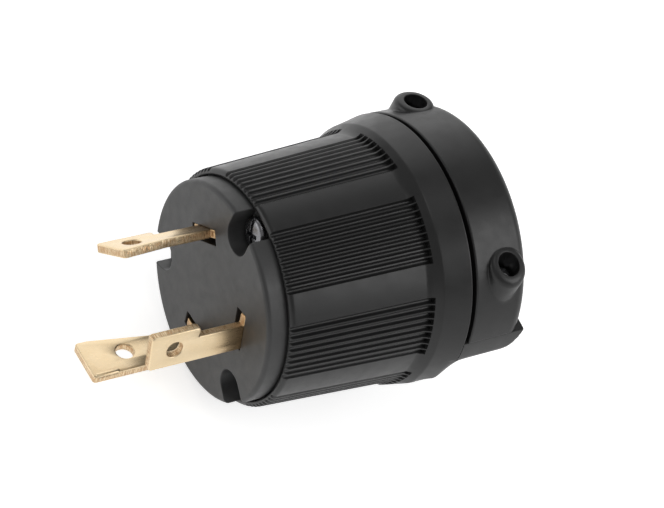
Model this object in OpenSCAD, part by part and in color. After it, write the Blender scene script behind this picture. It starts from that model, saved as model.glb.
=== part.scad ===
// Twist-lock power plug for a rewireable shore power cord: three locking blades in a moulded
// carrier, a ribbed housing with a cradle for the cord, and a clamp jaw on two screws.
// The plug axis is X, with the front face at X = 0 and the blades towards -X.
// Z points the way the clamp jaw lifts. Angles round the axis start at +Z and run towards +Y.

/* [Face disc] */
// Radius of the moulded face disc
face_r = 23; // [22.4:0.1:23.4]
// Distance that the face stands in front of the sleeve lip
face_lift = 4.2; // [3:0.1:4.6]
// Thickness of the face disc
face_t = 6.4; // [6:0.1:8]
// Rounding of the front edge of the face disc
face_edge_r = 0.9; // [0.3:0.1:1.5]

/* [Blade carrier] */
// Distance from the face to the rear end of the carrier body
carrier_end_x = 26; // [25.4:0.1:28]
// Thickness of the retainer plate that closes the carrier
retainer_t = 3; // [2:0.1:5]
// Radius of the holes that lead the wires through the retainer plate
wire_hole_r = 2.7; // [2:0.1:2.8]

/* [Blades] */
// Thickness of each blade
blade_t = 1.8; // [1.4:0.1:2.2]
// Distance from the plug axis to the outer face of each blade
blade_out = 13.7; // [13:0.1:14.5]
// Rounding of the corners of the blade outlines
blade_corner_r = 0.7; // [0.2:0.1:1]
// Distance from the face to the shoulders that seat each blade in the carrier
blade_seat_x = 8; // [7:0.1:9]
// Half width of the terminal tab of each blade
tab_half_w = 6.2; // [5.8:0.1:6.6]
// Space that the slots in the face leave on the axis side of the blades
slot_inner_gap = 1.4; // [1.3:0.1:1.8]

/* [Neutral blade] */
// Angle of the neutral blade round the axis
neutral_deg = 44; // [42:0.5:46]
// Length of the neutral blade in front of the face
neutral_len = 20.9; // [17:0.1:23]
// Half width of the neutral blade
neutral_half_w = 4.3; // [3.8:0.1:4.6]
// How much longer the neutral blade is on its notched edge
neutral_slant = 1.9; // [0:0.1:2.5]
// Radius of the hole in the neutral blade
neutral_hole_r = 1.9; // [1:0.1:2.2]
// Distance from the face to the hole in the neutral blade
neutral_hole_x = 16; // [15.5:0.1:16.5]

/* [Hot blade] */
// Angle of the hot blade round the axis
hot_deg = -70.5; // [-72:0.5:-69]
// Length of the hot blade in front of the face
hot_len = 20.3; // [18:0.1:22]
// Half width of the hot blade
hot_half_w = 4; // [3.6:0.1:4.4]
// Radius of the hole in the hot blade
hot_hole_r = 1.75; // [1:0.05:2]
// Distance from the face to the hole in the hot blade
hot_hole_x = 15; // [14:0.1:16]

/* [Ground blade] */
// Angle of the ground blade round the axis
ground_deg = -169; // [-171:0.5:-167]
// Length of the ground blade in front of the face
ground_len = 25.6; // [24:0.1:27]
// Half width of the ground blade
ground_half_w = 4.8; // [4.4:0.1:5.2]
// Radius of the hole in the ground blade
ground_hole_r = 1.9; // [1:0.1:2.2]
// Distance from the face to the hole in the ground blade
ground_hole_x = 16.6; // [16:0.1:18]
// Length of the lip bent inward beside the tip of the ground blade
hook_len = 6; // [3:0.1:7]
// Distance that the lip stands inward from the ground blade
hook_drop = 1.2; // [0.6:0.1:1.3]
// Width of the lip of the ground blade
hook_w = 1.2; // [0.8:0.1:1.8]

/* [Locking notches] */
// Length of the locking notch in one edge of each blade, from the face
notch_len = 9.4; // [8:0.1:10.5]
// Depth of the locking notch
notch_depth = 2.2; // [1.5:0.1:2.6]
// Lean of the outer end of the locking notch along the blade
notch_lean = 0.6; // [0:0.1:1]
// Depth of the relief in the other edge of the neutral blade
neutral_relief = 1.3; // [0.8:0.1:1.8]
// Depth of the relief in the other edge of the ground blade
ground_relief = 2.2; // [0.8:0.1:2.4]
// Length of the taper at the outer end of the neutral blade's relief
neutral_taper = 9; // [1:0.5:9]
// Length of the taper at the outer end of the ground blade's relief
ground_taper = 13; // [1:0.5:13]

/* [Wire terminals] */
// Distance from the face to the terminal screws
terminal_x = 18; // [17.4:0.1:19]
// Radius of the shank of a terminal screw
terminal_shank_r = 2.08; // [1.7:0.02:2.2]
// Length of the shank of a terminal screw
terminal_shank_len = 8; // [7:0.1:8.2]
// Radius of the head of a terminal screw
terminal_head_r = 3.8; // [3.2:0.1:4]
// Height of the head of a terminal screw
terminal_head_h = 2.2; // [1.8:0.1:2.6]
// Thickness of a pressure plate
plate_t = 1.6; // [1.2:0.1:2]
// Half width of a pressure plate
plate_half_w = 4.9; // [4:0.1:5]
// Length of a pressure plate
plate_len = 9; // [8:0.1:10]
// Distance that a pressure plate opens from its blade
plate_travel = 3.2; // [2:0.1:3.4]
// Radius of the head of the screw that holds the retainer plate
retainer_head_r = 2.8; // [2.4:0.1:3]
// Height of the head of the retainer screw
retainer_head_h = 1.8; // [1.2:0.1:2.4]
// Radius of the shank of the retainer screw
retainer_shank_r = 1.5; // [1.2:0.1:1.8]
// Length of the shank of the retainer screw
retainer_shank_len = 12; // [8:0.1:15]

/* [Assembly screws] */
// Radius of the circle that the three assembly screws stand on
screw_circle_r = 19.3; // [18.6:0.1:19.4]
// Radius of the notches in the face that the screw heads lie in
head_notch_r = 3.65; // [3.5:0.05:3.8]
// Radius of the head of an assembly screw
screw_head_r = 3.3; // [2.8:0.05:3.4]
// Height of the head of an assembly screw
screw_head_h = 2; // [1.6:0.1:2.2]
// Depth of the top of the screw heads behind the face
screw_head_x = 3.1; // [2.4:0.1:3.4]
// Radius of the shank of an assembly screw
screw_shank_r = 1.75; // [1.4:0.05:1.9]
// Distance from the face to the front of the housing bosses
insert_x = 16; // [14:0.1:17]
// Length of the threaded inserts in the housing bosses
insert_len = 8; // [6:0.1:10]
// Outer radius of the threaded inserts
insert_r = 2.8; // [2.4:0.05:3]
// Radius of the housing bosses
insert_boss_r = 4; // [3.8:0.1:4.2]

/* [Grip sleeve] */
// Radius of the sleeve just behind its lip
sleeve_front_r = 24.6; // [24.4:0.1:25]
// Radius of the sleeve at the rear end of the grip
sleeve_rear_r = 26.4; // [25.6:0.1:27]
// Distance from the face to the rear end of the grip
grip_end_x = 35.2; // [34:0.1:36]
// Rounding of the lip
lip_r = 1.1; // [0.6:0.05:1.2]
// Radius of the bore that takes the carrier
sleeve_bore_r = 22; // [21.9:0.1:22.2]
// Number of smooth lands round the grip
land_count = 8; // [6:1:10]
// Number of grooves between two lands
groove_count = 9; // [5:2:9]
// Angle from one groove to the next
groove_pitch_deg = 3.4; // [3:0.1:3.6]
// Width of a groove
groove_w = 1.05; // [0.6:0.05:1.2]
// Depth of a groove
groove_depth = 0.8; // [0.4:0.1:1]

/* [Collar] */
// Distance from the face to the front edge of the collar
collar_x = 37.7; // [37:0.1:38.5]
// Radius of the front edge of the collar
collar_front_r = 28; // [27.4:0.1:28.6]
// Distance from the face to the rear end of the collar
collar_end_x = 43.9; // [43:0.1:45]
// Rounding of the rear edge of the collar beside the cradle
collar_edge_r = 2; // [0.5:0.1:2.2]
// Distance from the axis to the two small side flats under the collar
collar_flat = 27.3; // [27:0.1:27.9]
// Distance from the axis to the base flat that the plug rests on
base_flat = 26.8; // [26.7:0.1:27]
// Thickness of the wall behind the wiring space
rear_wall_t = 3; // [2:0.1:4]

/* [Cord clamp] */
// Width of the open seam between the collar and the jaw
seam_w = 1; // [0.5:0.1:1.5]
// Radius of the clamp drum
drum_r = 29.2; // [28.8:0.1:29.6]
// Length of the jaw along the axis
jaw_len = 13; // [12:0.1:14]
// Rounding of the rear edge of the jaw
drum_edge_r = 2.7; // [1:0.1:3.2]
// Height of the parting plane between jaw and cradle above the axis
parting_z = 6.6; // [6:0.1:8]
// Length of the cradle behind the collar
cradle_len = 15.1; // [14.8:0.1:16]
// Distance from the axis to the two slanted sides of the cradle
cradle_flat = 24.4; // [23.8:0.1:25]
// Rounding of the rear edges of the cradle
cradle_edge_r = 4; // [1:0.1:5]
// Radius of the cord channel between jaw and cradle
channel_r = 8.7; // [7.5:0.1:9.5]
// Half width of the slot in the cradle that takes the tongue of the jaw
tongue_slot = 12; // [11:0.1:12.6]
// Radius of the opening in the wall in front of the cradle
wall_opening_r = 11; // [9.5:0.1:13]
// Number of grip ridges across the channel
ridge_count = 3; // [2:1:4]
// Width of a grip ridge
ridge_w = 1; // [0.6:0.1:1.4]
// Height of a grip ridge
ridge_h = 0.7; // [0.4:0.1:1]

/* [Clamp screws] */
// Distance of each clamp screw from the plug's middle plane
clamp_y = 21; // [20.6:0.1:21.4]
// Distance from the front of the jaw to the clamp screws
clamp_inset = 7; // [6.5:0.1:7.4]
// Radius of the bosses round the clamp screws
clamp_boss_r = 4.2; // [4:0.05:4.4]
// Height of the mouth of each boss above the axis, at the screw
clamp_boss_z = 22.3; // [22:0.1:23]
// Outward tilt of the mouth of each boss
clamp_boss_tilt = 18; // [12:1:22]
// Radius of the recess in a boss for the screw head
clamp_recess_r = 2.45; // [2.4:0.05:2.7]
// Radius of the head of a clamp screw
clamp_head_r = 2.15; // [2:0.05:2.3]
// Height of the head of a clamp screw
clamp_head_h = 1.6; // [1.4:0.1:2]
// Depth of the top of the head below the mouth of the boss
clamp_head_depth = 3.4; // [2.6:0.1:4.2]
// Radius of the shank of a clamp screw
clamp_shank_r = 1.5; // [1.2:0.1:1.6]
// Length of the shank of a clamp screw
clamp_shank_len = 29; // [27:0.5:29.5]
// Height of the nut above the lower end of a closed clamp screw
nut_lift = 4.8; // [4:0.1:5.5]
// Thickness of a clamp nut
nut_t = 2.4; // [1.8:0.1:3]
// Width of a clamp nut across its flats
nut_flats = 5.5; // [5:0.1:6]

/* [Hidden] */
$fn = 96;

// Clearances
run_gap = 0.06;        // radial, round a shank that turns
slip_gap = 0.3;        // between pieces that slide past each other
fixed_gap = 0.02;      // round a piece that is pressed in
blade_gap = 0.1;       // round a blade in the carrier
past = 1;              // how far a cutting solid runs past the surface it cuts
join = 0.01;           // how far one body of a moulding reaches into the next
far = 60;              // larger than the plug's radius

// Screw heads, as shares of the head's radius or height
slot_w_share = 0.27;
slot_d_share = 0.45;
cross_share = 0.55;
dome_share = 0.4;
clamp_turn_deg = 40;
assembly_turn_deg = 30;

// Screw angles and places
screw_angles = [0, 120, -120];
flat_deg = 120;
lip_x = face_lift;
lip_end_x = lip_x + lip_r;
sleeve_slope = atan((sleeve_rear_r - sleeve_front_r) / (grip_end_x - lip_end_x));
lip_bore_r = face_r + slip_gap;
carrier_r = sleeve_bore_r - slip_gap;
retainer_end_x = carrier_end_x + retainer_t;
screw_seat_x = screw_head_x + screw_head_h;
boss_channel_r = insert_boss_r + slip_gap;
screw_tip_x = insert_x + insert_len;
chamber_end_x = collar_end_x - rear_wall_t;

// Blade and terminal places
blade_in = blade_out - blade_t;
wire_space_in = blade_in - plate_t - plate_travel - slip_gap;
wire_hole_z = blade_in - wire_hole_r - blade_gap;
terminal_bore_r = terminal_head_r + slip_gap;
terminal_tip_z = blade_out - terminal_shank_len;
relief_len = notch_len + notch_lean;
hook_inset = 1;

// Clamp places
jaw_x = collar_end_x + seam_w;
jaw_end_x = jaw_x + jaw_len;
clamp_x = jaw_x + clamp_inset;
cradle_end_x = collar_end_x + cradle_len;
tongue_half_w = tongue_slot - slip_gap;
ledge_z = drum_r * cos(flat_deg - acos(cradle_flat / drum_r));
clamp_seat_z = clamp_boss_z - clamp_head_depth - clamp_head_h;
clamp_tip_z = clamp_seat_z - clamp_shank_len;
nut_z = clamp_tip_z + nut_lift;
nut_r = nut_flats / 2 / cos(30);
ridge_step = jaw_len / (ridge_count + 1);

// Turns Z into X for shapes made round the plug axis
module along_x() {
    rotate([0, 90, 0]) children();
}

// Turns the children round the plug axis, so that their Z points outward at the angle
module at_angle(deg) {
    rotate([-deg, 0, 0]) children();
}

// Cylinder on the plug axis from one X to another
module rod_x(r, from_x, to_x) {
    translate([from_x, 0, 0]) along_x() cylinder(r = r, h = to_x - from_x);
}

// Screw that points down, with its seat at Z = 0 and a slotted cross recess in its domed head
module screw(head_r, head_h, shank_r, shank_len, turn = 0) {
    slot_w = head_r * slot_w_share;
    slot_d = head_h * slot_d_share;
    cross_r = head_r * cross_share;
    edge_r = head_h * dome_share;
    difference() {
        union() {
            rotate_extrude() {
                square([head_r - edge_r, head_h]);
                square([head_r, head_h - edge_r]);
                translate([head_r - edge_r, head_h - edge_r]) circle(edge_r);
            }
            translate([0, 0, -shank_len]) cylinder(r = shank_r, h = shank_len + head_h / 2);
        }
        rotate([0, 0, turn]) {
            translate([-head_r - past, -slot_w / 2, head_h - slot_d])
                cube([2 * (head_r + past), slot_w, slot_d + past]);
            translate([-slot_w / 2, -cross_r, head_h - slot_d])
                cube([slot_w, 2 * cross_r, slot_d + past]);
        }
    }
}

// Outer body of sleeve and collar, before it is hollowed
module sleeve_body() {
    along_x() rotate_extrude() {
        translate([0, lip_x]) square([sleeve_front_r - lip_r, lip_r]);
        translate([sleeve_front_r - lip_r, lip_end_x]) circle(lip_r);
        polygon([
            [0, lip_end_x],
            [sleeve_front_r, lip_end_x],
            [sleeve_rear_r, grip_end_x],
            [collar_front_r, collar_x],
            [0, collar_x]
        ]);
    }
}

// Collar, whose rear edge is sharp above the foot of the ledges and rounded below it
module collar() {
    intersection() {
        rotate([0, 90, 0]) rotate_extrude()
            polygon([
                [0, collar_x], [collar_front_r, collar_x],
                [drum_r, collar_end_x], [0, collar_end_x]
            ]);
        union() {
            translate([0, -far, ledge_z]) cube([far, 2 * far, far]);
            along_x() rotate_extrude() {
                square([far, collar_end_x - collar_edge_r]);
                square([drum_r - collar_edge_r, collar_end_x]);
                translate([drum_r - collar_edge_r, collar_end_x - collar_edge_r])
                    circle(collar_edge_r);
            }
        }
    }
}

// Space below the base flat and outside the two side flats of flare and collar
module outside_flats() {
    for (side = [-1, 1]) at_angle(side * flat_deg)
        translate([grip_end_x, -far, collar_flat]) cube([far, 2 * far, far]);
    translate([grip_end_x, -far, -base_flat - far]) cube([far, 2 * far, far]);
}

// Slab whose rear outer edge is rounded, reaching outward to the given distance
module cradle_slab(deg, reach) {
    at_angle(deg) rotate([90, 0, 0]) linear_extrude(2 * far, center = true) {
        translate([collar_end_x - join, -far])
            square([cradle_len + join - cradle_edge_r, far + reach]);
        translate([collar_end_x - join, -far])
            square([cradle_len + join, far + reach - cradle_edge_r]);
        translate([cradle_end_x - cradle_edge_r, reach - cradle_edge_r]) circle(cradle_edge_r);
    }
}

// Lower half of the clamp, which is one piece with the collar
module cradle() {
    intersection() {
        rod_x(drum_r, collar_end_x - join, cradle_end_x);
        cradle_slab(flat_deg, cradle_flat);
        cradle_slab(-flat_deg, cradle_flat);
        cradle_slab(180, base_flat);
        translate([0, -far, parting_z - far]) cube([2 * far, 2 * far, far]);
    }
}

// Space for the cord: a round channel with grip ridges left in it
module channel(r, from_x, to_x) {
    difference() {
        rod_x(r, from_x, to_x);
        for (i = [1:ridge_count])
            translate([jaw_x + i * ridge_step - ridge_w / 2, 0, 0]) difference() {
                rod_x(r + past, 0, ridge_w);
                rod_x(r - ridge_h, -past, ridge_w + past);
            }
    }
}

module grooves() {
    run = (grip_end_x - lip_x) / cos(sleeve_slope) + 2 * past;
    for (land = [0:land_count - 1])
        for (i = [0:groove_count - 1])
            at_angle(360 / land_count * (land + 0.5)
                     + groove_pitch_deg * (i - (groove_count - 1) / 2))
                translate([lip_end_x, 0, sleeve_front_r]) rotate([0, -sleeve_slope, 0])
                    translate([-lip_r - past, -groove_w / 2, -groove_depth])
                        cube([run, groove_w, 3 * past]);
}

module housing() {
    color([0.17, 0.17, 0.18]) difference() {
        union() {
            difference() {
                union() {
                    difference() {
                        union() {
                            sleeve_body();
                            collar();
                        }
                        outside_flats();
                    }
                    cradle();
                }
                rod_x(lip_bore_r, 0, face_t);
                rod_x(sleeve_bore_r, 0, chamber_end_x);
            }
            // Bosses for the threaded inserts
            intersection() {
                rod_x(sleeve_bore_r + past / 2, insert_x, chamber_end_x + past / 2);
                for (deg = screw_angles) at_angle(deg) translate([0, 0, screw_circle_r])
                    rod_x(insert_boss_r, insert_x, chamber_end_x + past / 2);
            }
        }
        // Opening in the rear wall and cord channel behind it
        rod_x(wall_opening_r, chamber_end_x - past, jaw_x);
        channel(channel_r, collar_end_x, cradle_end_x + past);
        translate([collar_end_x, -tongue_slot, 0])
            cube([cradle_len + past, 2 * tongue_slot, parting_z + past]);
        for (deg = screw_angles) at_angle(deg) translate([0, 0, screw_circle_r]) {
            rod_x(insert_r + fixed_gap, insert_x - past, insert_x + insert_len);
            rod_x(screw_shank_r + slip_gap, insert_x, insert_x + insert_len + 2 * past);
        }
        grooves();
        // Clamp screw holes and nut pockets open to the underside
        for (side = [-1, 1]) translate([clamp_x, side * clamp_y, 0]) {
            translate([0, 0, nut_z]) cylinder(r = clamp_shank_r + slip_gap, h = far);
            translate([0, 0, nut_z + nut_t - far]) cylinder(r = nut_r + fixed_gap, h = far, $fn = 6);
        }
    }
}

module threaded_inserts() {
    color([0.76, 0.6, 0.33])
        for (deg = screw_angles) at_angle(deg) translate([0, 0, screw_circle_r]) difference() {
            rod_x(insert_r, insert_x, insert_x + insert_len);
            rod_x(screw_shank_r + run_gap, insert_x - past, insert_x + insert_len + past);
        }
}

module clamp_nuts() {
    color([0.62, 0.62, 0.64])
        for (side = [-1, 1]) translate([clamp_x, side * clamp_y, nut_z]) difference() {
            cylinder(r = nut_r, h = nut_t, $fn = 6);
            translate([0, 0, -past]) cylinder(r = clamp_shank_r + run_gap, h = nut_t + 2 * past);
        }
}

module cord_clamp_jaw() {
    color([0.16, 0.16, 0.17]) difference() {
        union() {
            intersection() {
                translate([jaw_x, 0, 0]) along_x() rotate_extrude() {
                    square([drum_r, jaw_len - drum_edge_r]);
                    square([drum_r - drum_edge_r, jaw_len]);
                    translate([drum_r - drum_edge_r, jaw_len - drum_edge_r]) circle(drum_edge_r);
                }
                translate([0, -far, parting_z]) cube([2 * far, 2 * far, far]);
            }
            for (side = [-1, 1]) difference() {
                translate([clamp_x, side * clamp_y, parting_z]) cylinder(r = clamp_boss_r, h = far);
                translate([clamp_x, side * clamp_y, clamp_boss_z]) rotate([-side * clamp_boss_tilt, 0, 0])
                    translate([-far, -far, 0]) cube(2 * far);
            }
            translate([jaw_x, -tongue_half_w, 0])
                cube([jaw_len, 2 * tongue_half_w, parting_z + past]);
        }
        channel(channel_r, jaw_x - past, jaw_end_x + past);
        for (side = [-1, 1]) translate([clamp_x, side * clamp_y, 0]) {
            cylinder(r = clamp_shank_r + run_gap, h = far);
            translate([0, 0, clamp_seat_z]) cylinder(r = clamp_recess_r, h = far);
        }
    }
}

module clamp_screw(side) {
    color([0.72, 0.72, 0.74]) translate([clamp_x, side * clamp_y, clamp_seat_z])
        screw(clamp_head_r, clamp_head_h, clamp_shank_r, clamp_shank_len, clamp_turn_deg);
}

module clamp_screw_left() {
    clamp_screw(1);
}

module clamp_screw_right() {
    clamp_screw(-1);
}

// Cuts that a blade and its terminal need in the carrier
module blade_pocket(deg, half_w) {
    at_angle(deg) {
        translate([-past, -half_w - slip_gap, blade_in - slot_inner_gap])
            cube([blade_seat_x + 2 * past, 2 * (half_w + slip_gap), blade_t + slot_inner_gap + blade_gap]);
        translate([blade_seat_x, -tab_half_w - blade_gap, blade_in])
            cube([far, 2 * (tab_half_w + blade_gap), blade_t + blade_gap]);
        translate([terminal_x - plate_len / 2 - slip_gap, -plate_half_w - slip_gap, wire_space_in])
            cube([far, 2 * (plate_half_w + slip_gap), blade_in - wire_space_in]);
        translate([terminal_x, 0, blade_in]) cylinder(r = terminal_bore_r, h = far);
        translate([terminal_x, 0, terminal_tip_z - slip_gap])
            cylinder(r = terminal_shank_r + slip_gap, h = far);
    }
}

module blade_carrier() {
    color([0.22, 0.22, 0.23]) difference() {
        union() {
            along_x() rotate_extrude() {
                translate([0, face_edge_r]) square([face_r, face_t - face_edge_r]);
                square([face_r - face_edge_r, face_t]);
                translate([face_r - face_edge_r, face_edge_r]) circle(face_edge_r);
            }
            rod_x(carrier_r, face_t - past, carrier_end_x);
        }
        for (deg = screw_angles) at_angle(deg) translate([0, 0, screw_circle_r]) {
            rod_x(head_notch_r, -past, screw_seat_x);
            translate([-past, -head_notch_r, 0])
                cube([screw_seat_x + past, 2 * head_notch_r, far]);
            rod_x(screw_shank_r + run_gap, 0, carrier_end_x);
            rod_x(boss_channel_r, insert_x - slip_gap, carrier_end_x + past);
            translate([insert_x - slip_gap, -boss_channel_r, 0])
                cube([far, 2 * boss_channel_r, far]);
        }
        blade_pocket(neutral_deg, neutral_half_w);
        blade_pocket(hot_deg, hot_half_w);
        blade_pocket(ground_deg, ground_half_w + blade_gap);
        rod_x(retainer_shank_r + fixed_gap, retainer_end_x - retainer_shank_len, carrier_end_x + past);
    }
}

module terminal_retainer() {
    color([0.3, 0.3, 0.31]) difference() {
        rod_x(carrier_r, carrier_end_x, retainer_end_x);
        for (deg = screw_angles) at_angle(deg) translate([0, 0, screw_circle_r]) {
            rod_x(boss_channel_r, 0, far);
            translate([0, -boss_channel_r, 0]) cube([far, 2 * boss_channel_r, far]);
        }
        for (deg = [neutral_deg, hot_deg, ground_deg]) at_angle(deg)
            translate([0, 0, wire_hole_z]) rod_x(wire_hole_r, 0, far);
        rod_x(retainer_shank_r + fixed_gap, 0, far);
    }
}

module retainer_screw() {
    color([0.7, 0.7, 0.72]) translate([retainer_end_x, 0, 0]) along_x()
        screw(retainer_head_r, retainer_head_h, retainer_shank_r, retainer_shank_len);
}

// Blade outline on its own plane: X along the plug axis, Y across the blade.
// The locking notch is in the +Y edge. The relief is in the -Y edge.
module blade_outline(len, half_w, slant, relief, taper) {
    offset(r = blade_corner_r, $fn = 32) offset(delta = -blade_corner_r) polygon([
        [carrier_end_x, -tab_half_w],
        [carrier_end_x, tab_half_w],
        [blade_seat_x, tab_half_w],
        [blade_seat_x, half_w],
        [0, half_w],
        [0, half_w - notch_depth],
        [-notch_len - notch_lean, half_w - notch_depth],
        [-notch_len, half_w],
        [-len - slant / 2, half_w],
        [-len + slant / 2, -half_w],
        [-relief_len - taper, -half_w],
        [-relief_len, relief - half_w],
        [0, relief - half_w],
        [0, -half_w],
        [blade_seat_x, -half_w],
        [blade_seat_x, -tab_half_w]
    ]);
}

module blade(deg, len, half_w, slant, relief, taper, hole_r, hole_x) {
    at_angle(deg) translate([0, 0, blade_in]) difference() {
        linear_extrude(blade_t) blade_outline(len, half_w, slant, relief, taper);
        translate([-hole_x, 0, -past]) cylinder(r = hole_r, h = blade_t + 2 * past);
        translate([terminal_x, 0, -past])
            cylinder(r = terminal_shank_r + run_gap, h = blade_t + 2 * past);
    }
}

module blade_neutral() {
    color([0.9, 0.79, 0.62])
        blade(neutral_deg, neutral_len, neutral_half_w, neutral_slant,
              neutral_relief, neutral_taper, neutral_hole_r, neutral_hole_x);
}

module blade_hot() {
    color([0.88, 0.77, 0.6])
        blade(hot_deg, hot_len, hot_half_w, 0, 0, 0, hot_hole_r, hot_hole_x);
}

module blade_ground() {
    color([0.91, 0.8, 0.64]) {
        blade(ground_deg, ground_len, ground_half_w, 0,
              ground_relief, ground_taper, ground_hole_r, ground_hole_x);
        at_angle(ground_deg)
            translate([hook_inset - ground_len, ground_half_w - hook_w, blade_in - hook_drop])
                cube([hook_len, hook_w, hook_drop + blade_t / 2]);
    }
}

module terminal_plate(deg) {
    color([0.8, 0.68, 0.42]) at_angle(deg) translate([terminal_x, 0, blade_in - plate_t]) difference() {
        translate([-plate_len / 2, -plate_half_w, 0]) cube([plate_len, 2 * plate_half_w, plate_t]);
        translate([0, 0, -past]) cylinder(r = terminal_shank_r + run_gap, h = plate_t + 2 * past);
    }
}

module terminal_plate_neutral() {
    terminal_plate(neutral_deg);
}

module terminal_plate_hot() {
    terminal_plate(hot_deg);
}

module terminal_plate_ground() {
    terminal_plate(ground_deg);
}

module terminal_screw(deg) {
    at_angle(deg) translate([terminal_x, 0, blade_out])
        screw(terminal_head_r, terminal_head_h, terminal_shank_r, terminal_shank_len);
}

module terminal_screw_neutral() {
    color([0.78, 0.78, 0.8]) terminal_screw(neutral_deg);
}

module terminal_screw_hot() {
    color([0.8, 0.63, 0.3]) terminal_screw(hot_deg);
}

module terminal_screw_ground() {
    color([0.16, 0.42, 0.24]) terminal_screw(ground_deg);
}

module assembly_screw(i) {
    color([0.6, 0.6, 0.62]) at_angle(screw_angles[i]) translate([screw_seat_x, 0, screw_circle_r])
        rotate([0, -90, 0])
            screw(screw_head_r, screw_head_h, screw_shank_r, screw_tip_x - screw_seat_x, assembly_turn_deg);
}

module assembly_screw_1() {
    assembly_screw(0);
}

module assembly_screw_2() {
    assembly_screw(1);
}

module assembly_screw_3() {
    assembly_screw(2);
}

housing();
threaded_inserts();
clamp_nuts();
cord_clamp_jaw();
clamp_screw_left();
clamp_screw_right();
blade_carrier();
terminal_retainer();
retainer_screw();
blade_neutral();
blade_hot();
blade_ground();
terminal_plate_neutral();
terminal_plate_hot();
terminal_plate_ground();
terminal_screw_neutral();
terminal_screw_hot();
terminal_screw_ground();
assembly_screw_1();
assembly_screw_2();
assembly_screw_3();
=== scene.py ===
import math

import bmesh
import bpy
import numpy as np
from mathutils import Matrix, Vector


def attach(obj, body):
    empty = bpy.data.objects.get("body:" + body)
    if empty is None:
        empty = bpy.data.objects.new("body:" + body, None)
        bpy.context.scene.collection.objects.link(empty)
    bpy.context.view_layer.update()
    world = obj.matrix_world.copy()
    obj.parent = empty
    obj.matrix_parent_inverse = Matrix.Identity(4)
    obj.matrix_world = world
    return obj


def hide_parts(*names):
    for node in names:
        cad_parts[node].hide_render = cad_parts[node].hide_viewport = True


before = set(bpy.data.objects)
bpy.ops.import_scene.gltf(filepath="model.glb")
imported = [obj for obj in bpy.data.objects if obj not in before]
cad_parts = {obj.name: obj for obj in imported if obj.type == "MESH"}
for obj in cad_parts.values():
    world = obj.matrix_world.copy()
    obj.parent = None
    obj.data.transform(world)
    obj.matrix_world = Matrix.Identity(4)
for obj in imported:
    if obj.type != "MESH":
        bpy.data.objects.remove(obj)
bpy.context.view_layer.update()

MM = 0.001


# ---------------------------------------------------------------- camera
def camera_turn():
    """Rotation from the camera's axes to the row frame: the photograph's yaw, pitch and roll."""
    yaw, pitch, roll = (math.radians(d) for d in (30.67, 11.18, 35.0))
    level = Vector((math.cos(yaw), 0, -math.sin(yaw)))
    upward = Vector((0, 1, 0))
    plug = math.cos(pitch) * level + math.sin(pitch) * upward
    rise = math.cos(pitch) * upward - math.sin(pitch) * level
    side = Vector((math.sin(yaw), 0, math.cos(yaw)))
    return Matrix((
        plug,
        -math.sin(roll) * side + math.cos(roll) * rise,
        math.cos(roll) * side + math.sin(roll) * rise,
    ))


def make_camera():
    turn = camera_turn()
    origin_in_view = Vector((-24.56, -7.75, -439.91)) * MM
    data = bpy.data.cameras.new("camera")
    data.lens = 119.3
    data.sensor_width = 36
    data.clip_start = 0.01
    camera = bpy.data.objects.new("camera", data)
    camera.matrix_world = Matrix.Translation(-(turn @ origin_in_view)) @ turn.to_4x4()
    bpy.context.scene.collection.objects.link(camera)
    bpy.context.scene.camera = camera
    return turn


TURN = make_camera()

# ---------------------------------------------------------------- sizes, in mm
FACE_LIFT = 4.2
LIP_R = 1.1
LIP_END_X = FACE_LIFT + LIP_R
SLEEVE_FRONT_R = 24.6
SLEEVE_REAR_R = 26.4
GRIP_END_X = 35.2
LIP_BORE_R = 23.3
LIP_BORE_END_X = 6.4
SLEEVE_BORE_R = 22
COLLAR_X = 37.7
COLLAR_R = 28
COLLAR_END_X = 43.9
DRUM_R = 29.2
CHAMBER_END_X = 40.9
WALL_OPENING_R = 11
COLLAR_FLAT = 27.3
BASE_FLAT = 26.8
CRADLE_FLAT = 24.4
CRADLE_END_X = 59
CRADLE_EDGE_R = 4
BLEND_X = 41.6
BLEND_END_X = 46.6
PARTING_Z = 6.6
LEDGE_Z = 1.69
LAND_COUNT = 8
GROOVE_COUNT = 9
GROOVE_PITCH = 3.4
GROOVE_DEPTH = 0.8
GROOVE_END_X = 36.26
JAW_X = 44.9
JAW_END_X = 57.9
DRUM_EDGE_R = 2.7
CHANNEL_R = 8.7
TONGUE_SLOT = 12
TONGUE_HALF_W = 11.7
RIDGE_X = (48.15, 51.4, 54.65)
RIDGE_W = 1
RIDGE_H = 0.7
CLAMP_X = 51.9
CLAMP_Y = 21
CLAMP_BOSS_R = 4.2
CLAMP_BOSS_Z = 22.3
CLAMP_BOSS_TILT = math.radians(18)
CLAMP_BOSS_RIM = 1.3
CLAMP_BOSS_FILLET = 0.4
CLAMP_RECESS_R = 2.45
CLAMP_SEAT_Z = 17.3
NUT_R = 5.5 / 2 / math.cos(math.radians(30))
NUT_TOP_Z = -4.5
SCREW_ANGLES = (0, 120, -120)
SCREW_CIRCLE_R = 19.3
INSERT_X = 16
INSERT_END_X = 24
BLADE_T = 1.8
BLADE_IN = 11.9
TERMINAL_X = 18
INSERT_BOSS_R = 4
INSERT_BOSS_TIP_R = 3.6
INSERT_HOLE_R = 2.82
SCREW_HOLE_R = 2.05
NUT_HOLE_R = 1.8
JAW_HOLE_R = 1.56
FAR = 80

# one side of a groove: distance from its middle and the share of the depth that is cut there
GROOVE_HALF = (
    (0, 1), (0.16, 0.96), (0.3, 0.84), (0.41, 0.66),
    (0.49, 0.44), (0.545, 0.22), (0.58, 0.06), (0.63, 0),
)

# slopes of the flare in front of the collar and of the collar itself
FLARE = (COLLAR_R - SLEEVE_REAR_R) / (COLLAR_X - GRIP_END_X)
LEAN = (DRUM_R - COLLAR_R) / (COLLAR_END_X - COLLAR_X)

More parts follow.
